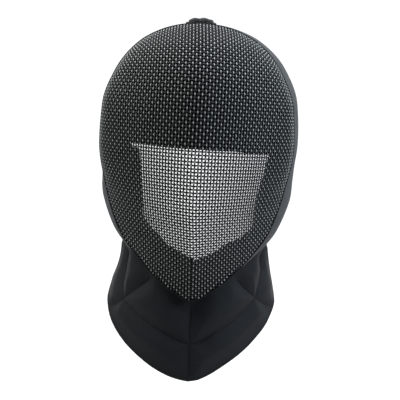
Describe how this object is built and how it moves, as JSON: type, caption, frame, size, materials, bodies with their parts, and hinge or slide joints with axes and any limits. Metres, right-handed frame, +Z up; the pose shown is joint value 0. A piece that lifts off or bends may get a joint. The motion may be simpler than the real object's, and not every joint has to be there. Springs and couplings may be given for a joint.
{
  "type": "fencing mask",
  "caption": "Fencing mask with a keeled front of woven steel wire, cloth side band, padded linings, quilted bib and sprung tongue.",
  "frame": {"origin": "point of the crown lining, on the middle plane at the rear of the wire front, that bears on the top of the wearer's head", "axes": "+Z up the wearer's head, -Y the way the mask faces, +X to the right as seen from the front"},
  "size_m": [0.1988, 0.1989, 0.3434],
  "materials": {
    "steel_wire": "black coated steel wire, semi-gloss and worn bright on the crossings",
    "edge_binding": "black satin edge binding",
    "band_cloth": "dark grey matte woven cloth",
    "lining_cloth": "black brushed lining cloth",
    "bib_cloth": "near-black tightly woven padded cloth",
    "bib_binding_tape": "black ribbed binding tape",
    "tongue_padding": "black padded cloth",
    "bracket_plate": "black painted steel",
    "cap_webbing": "black webbing"
  },
  "bodies": {
    "root": {"front_mesh": "steel_wire", "mesh_rim": "edge_binding", "side_band": "band_cloth", "crown_lining": "lining_cloth", "cheek_lining_left": "lining_cloth", "cheek_lining_right": "lining_cloth", "chin_lining": "lining_cloth", "bib": "bib_cloth", "bib_binding": "bib_binding_tape", "tongue": "tongue_padding", "tongue_bracket": "bracket_plate", "tongue_cap": "cap_webbing"}
  },
  "joints": []
}
